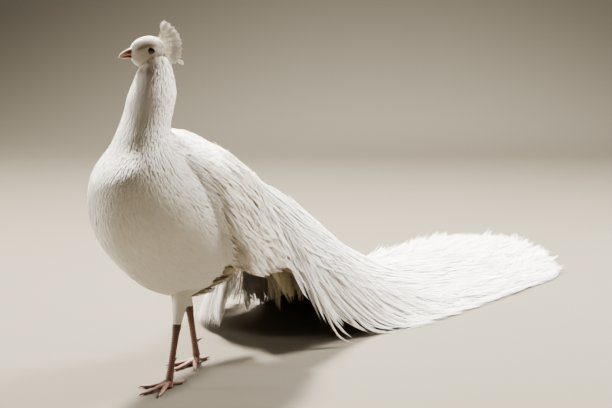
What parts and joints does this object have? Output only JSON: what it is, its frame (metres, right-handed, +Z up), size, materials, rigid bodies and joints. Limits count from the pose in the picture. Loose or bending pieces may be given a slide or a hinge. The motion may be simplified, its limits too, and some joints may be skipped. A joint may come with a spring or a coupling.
{
  "type": "white peafowl",
  "caption": "Life-size still model of a white peafowl cock, walking, with a fan crest and its train laid out behind on the floor.",
  "frame": {"origin": "the middle of the left foot's sole, on the floor", "axes": "the bird faces -Y, its left side is +X, +Z is up"},
  "size_m": [0.637, 2.1199, 0.8833],
  "materials": {
    "plumage": "soft matte feather",
    "scaled_skin": "dry scaled skin",
    "horn": "satin horn",
    "eye": "wet gloss"
  },
  "bodies": {
    "root": {"bill_lower": "horn", "bill_upper": "horn", "claw_left_hind": "horn", "claw_left_inner": "horn", "claw_left_middle": "horn", "claw_left_outer": "horn", "claw_right_hind": "horn", "claw_right_inner": "horn", "claw_right_middle": "horn", "claw_right_outer": "horn", "crest": "plumage", "eye_left": "eye", "eye_right": "eye", "flight_left": "plumage", "flight_right": "plumage", "foot_left": "scaled_skin", "foot_right": "scaled_skin", "head": "plumage", "neck_lower": "plumage", "neck_upper": "plumage", "rump": "plumage", "shank_left": "scaled_skin", "shank_right": "scaled_skin", "spur_left": "horn", "spur_right": "horn", "tail_left": "plumage", "tail_right": "plumage", "thigh_left": "plumage", "thigh_right": "plumage", "torso": "plumage", "train_long_left": "plumage", "train_long_right": "plumage", "train_middle_left": "plumage", "train_middle_right": "plumage", "train_short_left": "plumage", "train_short_right": "plumage", "wing_left": "plumage", "wing_right": "plumage"}
  },
  "joints": []
}
